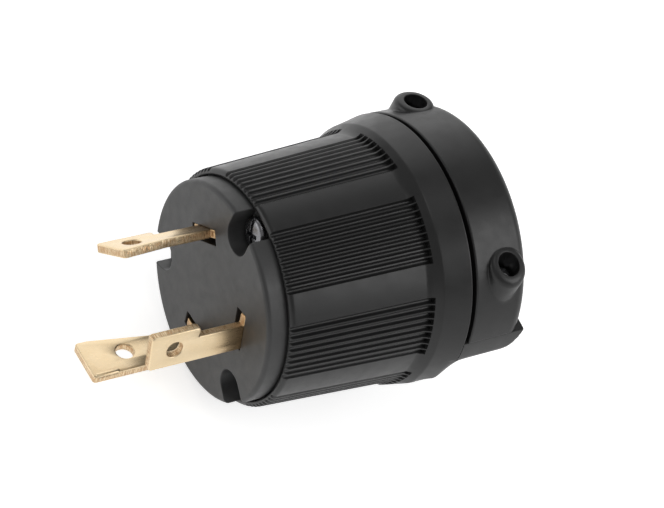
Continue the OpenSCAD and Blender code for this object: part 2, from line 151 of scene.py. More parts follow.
# screws: head, shank, turn of the slot, pitch, and length of the plain neck under the head
CLAMP_SCREW = dict(
    head_r=2.15, head_h=1.6, shank_r=1.5, shank_len=29, turn=40, pitch=0.5, plain=14,
)
ASSEMBLY_SCREW = dict(
    head_r=3.3, head_h=2, shank_r=1.75, shank_len=18.9, turn=30, pitch=0.8, plain=5,
)
TERMINAL_SCREW = dict(
    head_r=3.8, head_h=2.2, shank_r=2.08, shank_len=8, turn=0, pitch=0.8, plain=0.6,
)
RETAINER_SCREW = dict(
    head_r=2.8, head_h=1.8, shank_r=1.5, shank_len=12, turn=0, pitch=0.5, plain=3,
)
ASSEMBLY_SEAT_X = 5.1
RETAINER_SEAT_X = 29


# ---------------------------------------------------------------- mesh helpers
def new_object(name, mesh):
    thing = bpy.data.objects.new(name, mesh)
    bpy.context.scene.collection.objects.link(thing)
    return thing


def from_points(name, points, faces):
    """An object whose points are given in mm."""
    mesh = bpy.data.meshes.new(name)
    mesh.from_pydata([tuple(c * MM for c in p) for p in points], [], faces)
    mesh.update()
    return new_object(name, mesh)


def soften(thing, degrees=35):
    """Smooth shading with edges kept sharp above an angle, and all faces turned outward."""
    work = bmesh.new()
    work.from_mesh(thing.data)
    bmesh.ops.recalc_face_normals(work, faces=work.faces)
    limit = math.radians(degrees)
    for face in work.faces:
        face.smooth = True
    for edge in work.edges:
        edge.smooth = len(edge.link_faces) == 2 and edge.calc_face_angle(0) < limit
    work.to_mesh(thing.data)
    work.free()
    return thing


def replace_mesh(thing, mesh):
    old = thing.data
    thing.modifiers.clear()
    thing.data = mesh
    bpy.data.meshes.remove(old)


def evaluated(thing):
    bpy.context.view_layer.update()
    whole = bpy.context.evaluated_depsgraph_get()
    return bpy.data.meshes.new_from_object(thing.evaluated_get(whole))


def combine(target, other, operation):
    """Cuts with, adds or intersects another solid, which is then removed."""
    step = target.modifiers.new("combine", "BOOLEAN")
    step.operation = operation
    step.solver = "EXACT"
    step.object = other
    replace_mesh(target, evaluated(target))
    bpy.data.objects.remove(other)
    return target


def cut(target, *others):
    for other in others:
        combine(target, other, "DIFFERENCE")
    return target


def join(name, things):
    """One object from several, each with its own place already in its mesh."""
    work = bmesh.new()
    for thing in things:
        work.from_mesh(thing.data)
        bpy.data.objects.remove(thing)
    mesh = bpy.data.meshes.new(name)
    work.to_mesh(mesh)
    work.free()
    return new_object(name, mesh)


def ring_grid(name, rows, closed=False):
    """Quads between rows of points that run round an axis.

    A closed grid joins its last row to its first, and the ends of an open one are capped."""
    count = len(rows[0])
    points = [p for row in rows for p in row]
    pairs = len(rows) if closed else len(rows) - 1
    faces = []
    for a in range(pairs):
        b = (a + 1) % len(rows)
        for i in range(count):
            j = (i + 1) % count
            faces.append((a * count + i, a * count + j, b * count + j, b * count + i))
    if not closed:
        faces.append(tuple(range(count)))
        faces.append(tuple(range(len(points) - count, len(points))))
    return from_points(name, points, faces)


def lathe(name, profile, segments=96, place=Matrix.Identity(4)):
    """A turned solid from (height, radius) pairs, in mm, about the Z axis of its place."""
    rows = []
    for height, radius in profile:
        row = []
        for i in range(segments):
            a = 2 * math.pi * i / segments
            row.append(place @ Vector((radius * math.cos(a), radius * math.sin(a), height)))
        rows.append(row)
    return ring_grid(name, rows)


def arc(centre_h, centre_r, radius, start, end, steps=6):
    """(height, radius) pairs on an arc. Angles run from outward towards +height."""
    points = []
    for i in range(steps + 1):
        a = math.radians(start + (end - start) * i / steps)
        points.append((centre_h + radius * math.sin(a), centre_r + radius * math.cos(a)))
    return points


def block(name, low, high):
    xs, ys, zs = zip(low, high)
    corners = [(x, y, z) for x in xs for y in ys for z in zs]
    faces = [(0, 1, 3, 2), (4, 6, 7, 5), (0, 4, 5, 1), (2, 3, 7, 6), (0, 2, 6, 4), (1, 5, 7, 3)]
    return soften(from_points(name, corners, faces))


# places, whose Z axis is the axis of what is put there
ALONG_X = Matrix.Rotation(math.radians(90), 4, "Y")


def at_angle(degrees):
    """Z points outward from the plug axis at an angle that starts at +Z and runs towards +Y."""
    return Matrix.Rotation(math.radians(-degrees), 4, "X")


def on_plug_axis(name, profile, segments=160):
    return lathe(name, profile, segments, ALONG_X)


def upright(x, y):
    return Matrix.Translation((x, y, 0))


# ---------------------------------------------------------------- housing: sleeve and collar
def groove_columns():
    """Angles round the sleeve and, at each, the share of the groove depth that is cut there."""
    mean_r = (SLEEVE_FRONT_R + SLEEVE_REAR_R) / 2
    profile = [(-w, f) for w, f in reversed(GROOVE_HALF[1:])] + list(GROOVE_HALF)
    groove = [(math.degrees(w / mean_r), f) for w, f in profile]
    land_steps = 14
    land_turn = 360 / LAND_COUNT
    half_turn = GROOVE_PITCH * (GROOVE_COUNT - 1) / 2
    columns = []
    for land in range(LAND_COUNT):
        middle = land_turn * (land + 0.5)
        for i in range(GROOVE_COUNT):
            centre = middle + GROOVE_PITCH * i - half_turn
            columns += [(centre + w, f) for w, f in groove]
            if i < GROOVE_COUNT - 1:
                columns.append((centre + GROOVE_PITCH / 2, 0))
        last = columns[-1][0]
        following = middle + land_turn - half_turn - groove[-1][0]
        for i in range(1, land_steps):
            columns.append((last + (following - last) * i / land_steps, 0))
    return columns


def cone_r(x):
    share = (x - LIP_END_X) / (GRIP_END_X - LIP_END_X)
    return SLEEVE_FRONT_R + (SLEEVE_REAR_R - SLEEVE_FRONT_R) * share


def sleeve_stations():
    """Outer (x, radius) pairs from the lip to the rear end of the collar, without its rear edge.

    A long face has a second row close to each end, which keeps its shading even up to the edge."""
    stations = arc(LIP_END_X, SLEEVE_FRONT_R - LIP_R, LIP_R, -90, 0, 8)
    grip = (LIP_END_X + 0.3, 12, 20, 28, GRIP_END_X - 0.7, GRIP_END_X - 0.5)
    stations += [(x, cone_r(x)) for x in grip]
    stations += [(GRIP_END_X - 0.2, cone_r(GRIP_END_X - 0.2) + 0.03)]
    stations += [(GRIP_END_X + 0.2, SLEEVE_REAR_R + 0.2 * FLARE + 0.06)]
    groove_end = (GRIP_END_X + 0.6, GROOVE_END_X - 0.07, GROOVE_END_X)
    stations += [(x, SLEEVE_REAR_R + FLARE * (x - GRIP_END_X)) for x in groove_end]
    stations += [(COLLAR_X + x, COLLAR_R + x * FLARE) for x in (-0.32, -0.2)]
    stations += [(COLLAR_X - 0.07, COLLAR_R - 0.07 * FLARE - 0.01)]
    stations += [(COLLAR_X + 0.04, COLLAR_R - 0.008)]
    stations += [(COLLAR_X + x, COLLAR_R + x * LEAN) for x in (0.18, 0.3, BLEND_X - 0.2 - COLLAR_X)]
    return stations


def flat_limit(angle, flats):
    """Radius at which the nearest flat cuts a ray from the axis, or a large number."""
    limit = FAR
    for flat_angle, distance in flats:
        away = math.radians((angle - flat_angle + 180) % 360 - 180)
        if abs(away) < math.radians(60):
            limit = min(limit, distance / math.cos(away))
    return limit


COLLAR_SIDES = ((120, COLLAR_FLAT), (-120, COLLAR_FLAT), (180, BASE_FLAT))
CRADLE_SIDES = ((120, CRADLE_FLAT), (-120, CRADLE_FLAT), (180, BASE_FLAT))


def blended_r(x, angle):
    """Outer radius where the collar runs into the cradle in one smooth curve."""
    collar = min(DRUM_R, COLLAR_R + LEAN * (x - COLLAR_X), flat_limit(angle, COLLAR_SIDES))
    cradle = min(DRUM_R, flat_limit(angle, CRADLE_SIDES))
    t = min(1, max(0, (x - BLEND_X) / (BLEND_END_X - BLEND_X)))
    return collar + (min(cradle, collar) - collar) * t * t * (3 - 2 * t)


def make_sleeve():
    columns = groove_columns()
    limits = [flat_limit(a, COLLAR_SIDES) for a, _ in columns]
    edge, steps = 0.25, 8
    rows = []

    def row(pairs):
        """Adds one row from an (x, radius) pair for each column."""
        points = []
        for (angle, _), (x, r) in zip(columns, pairs):
            a = math.radians(angle)
            points.append((x, r * math.sin(a), r * math.cos(a)))
        rows.append(points)

    for x, r in sleeve_stations():
        grooved = x < GROOVE_END_X - 0.01
        row([
            (x, min(r, limit, cone_r(x) - GROOVE_DEPTH * share if grooved and share else FAR))
            for (_, share), limit in zip(columns, limits)
        ])
    rear_edge = [(COLLAR_END_X - edge - 0.15, DRUM_R - 0.03)]
    rear_edge += arc(COLLAR_END_X - edge, DRUM_R - edge, edge, 0, 90, steps)
    for k, (x, r) in enumerate(rear_edge):
        low_x = BLEND_X + (COLLAR_END_X - BLEND_X) * k / (steps + 1)
        pairs = []
        for (angle, _), limit in zip(columns, limits):
            low = DRUM_R * math.cos(math.radians(angle)) < LEDGE_Z
            pairs.append((low_x, blended_r(low_x, angle)) if low else (x, min(r, limit)))
        row(pairs)
    inside = [
        (COLLAR_END_X, 20),
        (COLLAR_END_X, WALL_OPENING_R + 0.3), (COLLAR_END_X - 0.3, WALL_OPENING_R),
        (CHAMBER_END_X + 0.3, WALL_OPENING_R), (CHAMBER_END_X, WALL_OPENING_R + 0.3),
        (CHAMBER_END_X, SLEEVE_BORE_R - 0.8), (CHAMBER_END_X - 0.25, SLEEVE_BORE_R - 0.25),
        (CHAMBER_END_X - 0.8, SLEEVE_BORE_R), (LIP_BORE_END_X + 0.2, SLEEVE_BORE_R),
        (LIP_BORE_END_X, SLEEVE_BORE_R + 0.2), (LIP_BORE_END_X, LIP_BORE_R),
        (FACE_LIFT + 0.12, LIP_BORE_R),
    ]
    for x, r in inside:
        row([(x, r)] * len(columns))
    sleeve = ring_grid("housing_sleeve", rows, closed=True)
    return soften(sleeve, 40)


def make_insert_boss(number):
    """Boss inside the sleeve, round its threaded insert."""
    angle = SCREW_ANGLES[number - 1]
    place = at_angle(angle) @ Matrix.Translation((0, 0, SCREW_CIRCLE_R)) @ ALONG_X
    edge = INSERT_BOSS_R - INSERT_BOSS_TIP_R
    profile = [(INSERT_X, INSERT_BOSS_TIP_R)]
    profile += arc(INSERT_X + edge, INSERT_BOSS_TIP_R, edge, -90, 0, 4)
    profile += [(CHAMBER_END_X + 0.2, INSERT_BOSS_R)]
    body = lathe(f"housing_boss_{number}", profile, 48, place)
    hole = [(INSERT_X - 1, INSERT_HOLE_R), (INSERT_END_X, INSERT_HOLE_R)]
    deep = [(INSERT_END_X - 0.5, SCREW_HOLE_R), (INSERT_END_X + 2, SCREW_HOLE_R)]
    return soften(cut(body, *(lathe("hole", profile, 48, place) for profile in (hole, deep))))


# ---------------------------------------------------------------- housing: cradle
def slab_reach(distance, x):
    """How far a side of the cradle stands from the axis: its rear edge is rounded."""
    run = x - (CRADLE_END_X - CRADLE_EDGE_R)
    if run <= 0:
        return distance
    return distance - CRADLE_EDGE_R + math.sqrt(max(0, CRADLE_EDGE_R ** 2 - run ** 2))


def channel_solid(name):
    """The space of the cord channel, with its grip ridges left out."""
    profile = [(COLLAR_END_X - 0.5, CHANNEL_R)]
    for x in RIDGE_X:
        low, high = x - RIDGE_W / 2, x + RIDGE_W / 2
        profile += [(low - 0.1, CHANNEL_R), (low + 0.12, CHANNEL_R - RIDGE_H)]
        profile += [(high - 0.12, CHANNEL_R - RIDGE_H), (high + 0.1, CHANNEL_R)]
    profile.append((CRADLE_END_X + 2, CHANNEL_R))
    return soften(on_plug_axis(name, profile, 128))


def make_cradle():
    xs = [COLLAR_END_X + (BLEND_END_X - COLLAR_END_X) * k / 8 for k in range(9)]
    xs += [49, 52, CRADLE_END_X - CRADLE_EDGE_R]
    xs += [CRADLE_END_X - CRADLE_EDGE_R * (1 - math.sin(math.radians(a))) for a in range(9, 91, 9)]
    count = 360
    rows = []
    for x in xs:
        side, base = slab_reach(CRADLE_FLAT, x), slab_reach(BASE_FLAT, x)
        points = []
        for i in range(count):
            degrees = 360 * i / count
            r = min(DRUM_R, flat_limit(degrees, ((120, side), (-120, side), (180, base))))
            if x < BLEND_END_X:
                r = blended_r(x, degrees)
            a = math.radians(degrees)
            points.append((x, r * math.sin(a), r * math.cos(a)))
        rows.append(points)
    cradle = soften(ring_grid("housing_cradle", rows))
    cut(
        cradle,
        block("top", (COLLAR_END_X - 5, -FAR, PARTING_Z), (FAR, FAR, FAR)),
        block("slot", (COLLAR_END_X - 5, -TONGUE_SLOT, 0), (FAR, TONGUE_SLOT, FAR)),
        channel_solid("channel"),
    )
    for side in (-1, 1):
        place = upright(CLAMP_X, side * CLAMP_Y)
        cut(
            cradle,
            soften(lathe("hole", [(NUT_TOP_Z - 3, NUT_HOLE_R), (FAR, NUT_HOLE_R)], 32, place)),
            soften(lathe("pocket", [(-FAR, NUT_R), (NUT_TOP_Z, NUT_R)], 6, place)),
        )
    open_front(cradle)
    return soften(cradle, 32)


def open_front(cradle):
    """Takes away the front face, which lies against the back of the collar."""
    work = bmesh.new()
    work.from_mesh(cradle.data)

    def at_collar(vertex):
        return abs(vertex.co.x - COLLAR_END_X * MM) < 0.01 * MM

    hidden = [face for face in work.faces if all(at_collar(v) for v in face.verts)]
    bmesh.ops.delete(work, geom=hidden, context="FACES")
    work.to_mesh(cradle.data)
    work.free()


# ---------------------------------------------------------------- clamp jaw
def jaw_r(x):
    """Radius of the jaw's outer surface, which is rounded at its rear edge."""
    run = x - (JAW_END_X - DRUM_EDGE_R)
    if run <= 0:
        return DRUM_R
    return DRUM_R - DRUM_EDGE_R + math.sqrt(max(0, DRUM_EDGE_R ** 2 - run ** 2))


def mouth_drop(outward):
    """How far the tilted mouth of a boss lies below its height at the screw."""
    return math.tan(CLAMP_BOSS_TILT) * outward


def make_boss(side, columns=72):
    """Boss round a clamp screw: a fillet on the jaw, an upright wall and a rounded rim."""
    fillet = []
    for degrees in range(0, 91, 15):
        a = math.radians(degrees)
        wide, rise = 1 - math.sin(a), 1 - math.cos(a)
        fillet.append((CLAMP_BOSS_FILLET * wide, CLAMP_BOSS_FILLET * rise))
    rim = arc(-CLAMP_BOSS_RIM, CLAMP_BOSS_R - CLAMP_BOSS_RIM, CLAMP_BOSS_RIM, 0, 90, 8)
    sunk = 0.04
    rows = []

    def row(station):
        """Adds one row from a function that gives radius and height for a direction."""
        points = []
        for i in range(columns):
            a = 2 * math.pi * i / columns
            r, z = station(math.cos(a), math.sin(a))
            points.append((CLAMP_X + r * math.cos(a), side * (CLAMP_Y + r * math.sin(a)), z))
        rows.append(points)

    def on_jaw(r, along, outward):
        return math.sqrt(jaw_r(CLAMP_X + r * along) ** 2 - (CLAMP_Y + r * outward) ** 2)

    def on_rim(height, r, outward):
        return CLAMP_BOSS_Z + height - mouth_drop(r * outward)

    row(lambda along, outward: (CLAMP_BOSS_R - 0.5, PARTING_Z + 0.01))
    for wide, rise in fillet:
        r = CLAMP_BOSS_R + wide

        def foot(along, outward):
            return r, min(on_jaw(r, along, outward) - sunk + rise, on_rim(rim[0][0], r, outward))

        row(foot)
    for height, r in rim:
        row(lambda along, outward: (r, on_rim(height, r, outward)))
    return soften(ring_grid("boss", rows), 50)


def make_jaw():
    front_edge = 0.3
    profile = [(JAW_X, 0.5), (JAW_X, DRUM_R - front_edge - 0.1)]
    profile += arc(JAW_X + front_edge, DRUM_R - front_edge, front_edge, -90, 0, 4)
    profile += [(JAW_X + front_edge + 0.1, DRUM_R), (JAW_END_X - DRUM_EDGE_R - 0.2, DRUM_R)]
    profile += arc(JAW_END_X - DRUM_EDGE_R, DRUM_R - DRUM_EDGE_R, DRUM_EDGE_R, 0, 90, 12)
    profile += [(JAW_END_X, DRUM_R - DRUM_EDGE_R - 0.2), (JAW_END_X, 0.5)]
    jaw = soften(on_plug_axis("clamp_jaw", profile, 240))
    cut(jaw, block("below", (0, -FAR, -FAR), (FAR, FAR, PARTING_Z)))
    tongue = block("tongue", (JAW_X, -TONGUE_HALF_W, 0), (JAW_END_X, TONGUE_HALF_W, PARTING_Z + 1))
    combine(jaw, tongue, "UNION")
    for side in (-1, 1):
        combine(jaw, make_boss(side), "UNION")
    cut(jaw, channel_solid("channel"))
    recess = [(CLAMP_SEAT_Z, CLAMP_RECESS_R), (FAR, CLAMP_RECESS_R)]
    shank = [(-5, JAW_HOLE_R), (CLAMP_SEAT_Z + 1, JAW_HOLE_R)]
    for side in (-1, 1):
        place = upright(CLAMP_X, side * CLAMP_Y)
        cut(
            jaw,
            soften(lathe("recess", recess, 72, place)),
            soften(lathe("shank", shank, 32, place)),
        )
    return soften(jaw, 32)


# ---------------------------------------------------------------- blades
BLADES = {
    "neutral": dict(angle=44, hole_r=1.9, hole_x=16),
    "hot": dict(angle=-70.5, hole_r=1.75, hole_x=15),
    "ground": dict(angle=-169, hole_r=1.9, hole_x=16.6),
}
BLADE_SHAPES = {
    "neutral": dict(length=20.9, half_w=4.3, slant=1.9, relief=1.3, taper=9),
    "hot": dict(length=20.3, half_w=4, slant=0, relief=0, taper=0),
    "ground": dict(length=25.6, half_w=4.8, slant=0, relief=2.2, taper=13),
}
NOTCH_LEN = 9.4
NOTCH_DEPTH = 2.2
NOTCH_LEAN = 0.6
RELIEF_LEN = NOTCH_LEN + NOTCH_LEAN
BLADE_SEAT_X = 8
TAB_HALF_W = 6.2
TAB_END_X = 26
CORNER_R = 0.7
BLADE_EDGE_R = 0.22
TERMINAL_HOLE_R = 2.14


def blade_outline(length, half_w, slant, relief, taper):
    """Corners of a blade: X along the plug axis, Y across it, locking notch on the +Y side."""
    notch_y = half_w - NOTCH_DEPTH
    relief_y = relief - half_w
    outline = [
        (TAB_END_X, -TAB_HALF_W), (TAB_END_X, TAB_HALF_W),
        (BLADE_SEAT_X, TAB_HALF_W), (BLADE_SEAT_X, half_w),
        (0, half_w), (0, notch_y), (-RELIEF_LEN, notch_y), (-NOTCH_LEN, half_w),
        (-length - slant / 2, half_w), (-length + slant / 2, -half_w),
    ]
    if relief:
        outline += [(-RELIEF_LEN - taper, -half_w), (-RELIEF_LEN, relief_y)]
        outline += [(0, relief_y), (0, -half_w)]
    return outline + [(BLADE_SEAT_X, -half_w), (BLADE_SEAT_X, -TAB_HALF_W)]


def round_corners(outline, radius, steps=6):
    """Replaces each corner by a small arc that touches both of its sides."""
    points = []
    count = len(outline)
    for i in range(count):
        here = Vector(outline[i])
        back = Vector(outline[i - 1]) - here
        ahead = Vector(outline[(i + 1) % count]) - here
        half = back.angle(ahead) / 2
        if half > math.radians(85):
            points.append(here)
            continue
        outward = back.x * ahead.y - back.y * ahead.x < 0
        r = radius if outward else radius * 0.35
        reach = min(r / math.tan(half), 0.45 * back.length, 0.45 * ahead.length)
        r = reach * math.tan(half)
        back.normalize()
        ahead.normalize()
        start, end = here + back * reach, here + ahead * reach
        centre = here + (back + ahead).normalized() * (r / math.sin(half))
        a, b = start - centre, end - centre
        sweep = a.angle_signed(b)
        for k in range(steps + 1):
            turn = Matrix.Rotation(-sweep * k / steps, 2)
            points.append(centre + turn @ a)
    return points


def circle(x, radius, count=48):
    """Points round a hole, which run the other way round than an outline does."""
    turns = [2 * math.pi * i / count for i in range(count)]
    return [Vector((x + radius * math.cos(a), -radius * math.sin(a))) for a in turns]


def plate(name, loops, thickness, edge):
    """A flat plate with rounded edges, from closed loops in mm. It stands on Z 0."""
    data = bpy.data.curves.new(name, "CURVE")
    data.dimensions = "2D"
    data.fill_mode = "BOTH"
    for loop in loops:
        spline = data.splines.new("POLY")
        spline.points.add(len(loop) - 1)
        for point, p in zip(spline.points, loop):
            point.co = (p.x * MM, p.y * MM, 0, 1)
        spline.use_cyclic_u = True
    data.extrude = (thickness / 2 - edge) * MM
    data.bevel_depth = edge * MM
    data.bevel_resolution = 2
    data.offset = -edge * MM
    thing = new_object(name, data)
    mesh = evaluated(thing)
    bpy.data.objects.remove(thing)
    bpy.data.curves.remove(data)
    mesh.transform(Matrix.Translation((0, 0, thickness / 2 * MM)))
    thing = new_object(name, mesh)
    work = bmesh.new()
    work.from_mesh(mesh)
    bmesh.ops.remove_doubles(work, verts=work.verts, dist=0.002 * MM)
    work.to_mesh(mesh)
    work.free()
    return thing


def hook_lip(length, half_w):
    """The short lip bent inward beside the tip of the ground blade."""
    inset, run, drop, width, edge = 0.5, 5.2, 0.28, 0.95, 0.35
    low = Vector((inset - length, half_w - width, -drop))
    lip = block("lip", low, low + Vector((run, width, drop + BLADE_T / 2)))
    work = bmesh.new()
    work.from_mesh(lip.data)
    bmesh.ops.bevel(
        work, geom=list(work.edges), offset=edge * MM, segments=3, affect="EDGES", profile=0.5,
    )
    work.to_mesh(lip.data)
    work.free()
    return lip


def make_blade(kind):
    facts, shape = BLADES[kind], BLADE_SHAPES[kind]
    loops = [
        round_corners(blade_outline(**shape), CORNER_R),
        circle(-facts["hole_x"], facts["hole_r"]),
        circle(TERMINAL_X, TERMINAL_HOLE_R),
    ]
    name = f"{kind}_blade"
    blade = plate(name, loops, BLADE_T, BLADE_EDGE_R)
    if kind == "ground":
        blade = join(name, [blade, hook_lip(shape["length"], shape["half_w"])])
    soften(blade, 40)
    remember_place(blade)
    blade.data.transform(at_angle(facts["angle"]) @ Matrix.Translation((0, 0, BLADE_IN * MM)))
    return blade


def remember_place(thing):
    """Keeps each point's place before the piece is set in position, for its material."""
    place = thing.data.attributes.new("own_place", "FLOAT_VECTOR", "POINT")
    flat = np.zeros(len(thing.data.vertices) * 3, np.float32)
    thing.data.vertices.foreach_get("co", flat)
    place.data.foreach_set("vector", flat / MM)


# ---------------------------------------------------------------- screws
def thread_rows(radius, length, pitch, plain, columns=32):
    """Rows of a threaded shank that hangs from Z 0 down, with a plain neck above the thread."""
    depth = 0.5 * pitch
    per_turn = 8
    overlap = 0.3
    tip_len, tip_cut = 0.8, 0.35
    turns = [2 * math.pi * i / columns for i in range(columns)]
    rows = [[(radius * math.cos(a), radius * math.sin(a), overlap) for a in turns]]
    count = int((length - plain) / pitch * per_turn)
    for k in range(count + 1):
        z = -plain - (length - plain) * k / count
        fade = min(1, k / per_turn)
        point = 1 - tip_cut * max(0, tip_len - length - z) / tip_len
        row = []
        for i, a in enumerate(turns):
            phase = (-z / pitch + i / columns) % 1
            cut_in = depth * fade * (1 - abs(2 * phase - 1))
            r = (radius - cut_in) * point
            row.append((r * math.cos(a), r * math.sin(a), z))
        rows.append(row)
    return rows


def screw(name, place, head_r, head_h, shank_r, shank_len, turn, pitch, plain):
    """Slotted cross-recess screw that points down from its seat at Z 0 of its place."""
    slot_w, slot_d = head_r * 0.27, head_h * 0.45
    rim = head_h * 0.45
    dome = 0.12 * head_h
    profile = [(0.03, head_r - 0.15), (0.15, head_r)]
    profile += arc(head_h - rim - dome, head_r - rim, rim, 0, 80, 7)
    profile += [(head_h - dome * 0.25, head_r * 0.5), (head_h - dome * 0.05, head_r * 0.2)]
    head = soften(lathe("head", profile, 64), 60)
    cross = Matrix.Rotation(math.radians(turn), 4, "Z")
    for half_x, half_y in ((head_r + 1, slot_w / 2), (slot_w / 2, head_r * 0.55)):
        tool = block("slot", (-half_x, -half_y, head_h - slot_d), (half_x, half_y, head_h + 1))
        tool.data.transform(cross)
        cut(head, tool)
    soften(head, 35)
    shank = ring_grid("shank", thread_rows(shank_r, shank_len, pitch, plain))
    soften(shank, 70)
    thing = join(name, [head, shank])
    remember_place(thing)
    thing.data.transform(in_metres(place))
    return thing


def in_metres(place):
    """The same place with its translation in metres, for a mesh that is already in metres."""
    scaled = place.copy()
    scaled.translation = place.translation * MM
    return scaled


def make_screws():
    """Every screw, with the CAD body and node that it belongs to."""
    screws = []
    for side, word in ((1, "left"), (-1, "right")):
        place = Matrix.Translation((CLAMP_X, side * CLAMP_Y, CLAMP_SEAT_Z))
        thing = screw(f"clamp_screw_{word}_threaded", place, **CLAMP_SCREW)
        screws.append((thing, f"clamp_screw_{word}", f"clamp_screw_{word}", "steel"))
    for number, angle in enumerate(SCREW_ANGLES, 1):
        seat = at_angle(angle) @ Matrix.Translation((ASSEMBLY_SEAT_X, 0, SCREW_CIRCLE_R))
        place = seat @ Matrix.Rotation(math.radians(-90), 4, "Y")
        thing = screw(f"assembly_screw_{number}_threaded", place, **ASSEMBLY_SCREW)
        screws.append((thing, f"assembly_screw_{number}", f"assembly_screw_{number}", "steel"))
    finishes = {"neutral": "steel", "hot": "terminal_brass", "ground": "green_screw"}
    for kind, facts in BLADES.items():
        place = at_angle(facts["angle"]) @ Matrix.Translation((TERMINAL_X, 0, BLADE_IN + BLADE_T))
        thing = screw(f"terminal_screw_{kind}_threaded", place, **TERMINAL_SCREW)
        screws.append((thing, f"terminal_screw_{kind}", f"terminal_screw_{kind}", finishes[kind]))
    place = Matrix.Translation((RETAINER_SEAT_X, 0, 0)) @ ALONG_X
    thing = screw("retainer_screw_threaded", place, **RETAINER_SCREW)
    screws.append((thing, "carrier", "retainer_screw", "steel"))
    return screws


# ---------------------------------------------------------------- materials
class Finish:
    """A procedural material and short names for adding and joining its nodes."""

    def __init__(self, name):
        self.material = bpy.data.materials.new(name)
        self.material.use_nodes = True
        self.tree = self.material.node_tree
        self.shader = self.tree.nodes["Principled BSDF"]

    def add(self, kind, **settings):
        node = self.tree.nodes.new(kind)
        for key, value in settings.items():
            if hasattr(node, key):
                setattr(node, key, value)
            else:
                node.inputs[key.replace("_", " ")].default_value = value
        return node

    def link(self, output, target):
        self.tree.links.new(output, target)

    def feed(self, **outputs):
        """Joins outputs to the shader's sockets of the same names."""
        for key, output in outputs.items():
            self.link(output, self.shader.inputs[key.replace("_", " ")])

    def maths(self, operation, *values):
        """A maths node. Each value is a number or the output of another node."""
        node = self.add("ShaderNodeMath", operation=operation)
        for socket, value in zip(node.inputs, values):
            if isinstance(value, (int, float)):
                socket.default_value = value
            else:
                self.link(value, socket)
        return node.outputs[0]

    def own_place(self):
        """Coordinates in mm: the piece's own place where it was kept."""
        return self.add("ShaderNodeAttribute", attribute_name="own_place").outputs["Vector"]

    def object_mm(self):
        """Coordinates in mm in the row frame."""
        source = self.add("ShaderNodeTexCoord").outputs["Object"]
        scale = self.add("ShaderNodeVectorMath", operation="SCALE")
        scale.inputs["Scale"].default_value = 1 / MM
        self.link(source, scale.inputs[0])
        return scale.outputs[0]

    def noise(self, where, size_mm, detail=3.0, roughness=0.55, stretch=None):
        """Noise whose grains are about size_mm across. Stretch multiplies the coordinates first."""
        if stretch:
            wide = self.add("ShaderNodeVectorMath", operation="MULTIPLY")
            wide.inputs[1].default_value = stretch
            self.link(where, wide.inputs[0])
            where = wide.outputs[0]
        node = self.add("ShaderNodeTexNoise")
        node.inputs["Scale"].default_value = 1 / size_mm
        node.inputs["Detail"].default_value = detail
        node.inputs["Roughness"].default_value = roughness
        self.link(where, node.inputs["Vector"])
        return node.outputs["Fac"]

    def span(self, value, low, high, from_low=0.3, from_high=0.7):
        """Maps noise onto a range."""
        node = self.add("ShaderNodeMapRange")
        ends = {"From Min": from_low, "From Max": from_high, "To Min": low, "To Max": high}
        for key, number in ends.items():
            node.inputs[key].default_value = number
        self.link(value, node.inputs["Value"])
        return node.outputs["Result"]

    def shade(self, value, low, high):
        """Colour between two by a value. Either can be a colour or the output of another node."""
        node = self.add("ShaderNodeMix", data_type="RGBA")
        ends = [socket for socket in node.inputs if socket.type == "RGBA"]
        for socket, colour in zip(ends, (low, high)):
            if isinstance(colour, tuple):
                socket.default_value = (*colour, 1)
            else:
                self.link(colour, socket)
        self.link(value, node.inputs["Factor"])
        return [socket for socket in node.outputs if socket.type == "RGBA"][0]

    def bump(self, height, distance_mm, strength=1.0, under=None):
        node = self.add("ShaderNodeBump")
        node.inputs["Strength"].default_value = strength
        node.inputs["Distance"].default_value = distance_mm * MM
        self.link(height, node.inputs["Height"])
        if under is not None:
            self.link(under, node.inputs["Normal"])
        return node.outputs["Normal"]

    def rounded(self, radius_mm):
        node = self.add("ShaderNodeBevel", samples=8)
        node.inputs["Radius"].default_value = radius_mm * MM
        return node.outputs["Normal"]

    def set(self, **values):
        for key, value in values.items():
            self.shader.inputs[key.replace("_", " ")].default_value = value


def moulded(name, colour, roughness, shine, grain_mm, grain_depth_mm, edge_mm, tint=0.12):
    """Moulded nylon: a fine spark-eroded grain, faint flow marks and slightly rounded edges."""
    finish = Finish(name)
    where = finish.object_mm()
    patches = finish.noise(where, 9, 2)
    dark = tuple(c * (1 - tint) for c in colour)
    light = tuple(c * (1 + tint) for c in colour)
    wear = finish.noise(where, 2.5, 4)
    edges = finish.rounded(edge_mm) if edge_mm else None
    grain = finish.noise(where, grain_mm, 4, 0.6)
    surface = finish.bump(grain, grain_depth_mm, 0.8, edges)
    waves = finish.noise(where, 6, 1)
    finish.feed(
        Base_Color=finish.shade(finish.span(patches, 0, 1), dark, light),
        Roughness=finish.span(wear, roughness - 0.05, roughness + 0.06),
        Normal=finish.bump(waves, 0.05, 0.5, surface),
    )
    finish.set(Specular_IOR_Level=shine)
    return finish.material


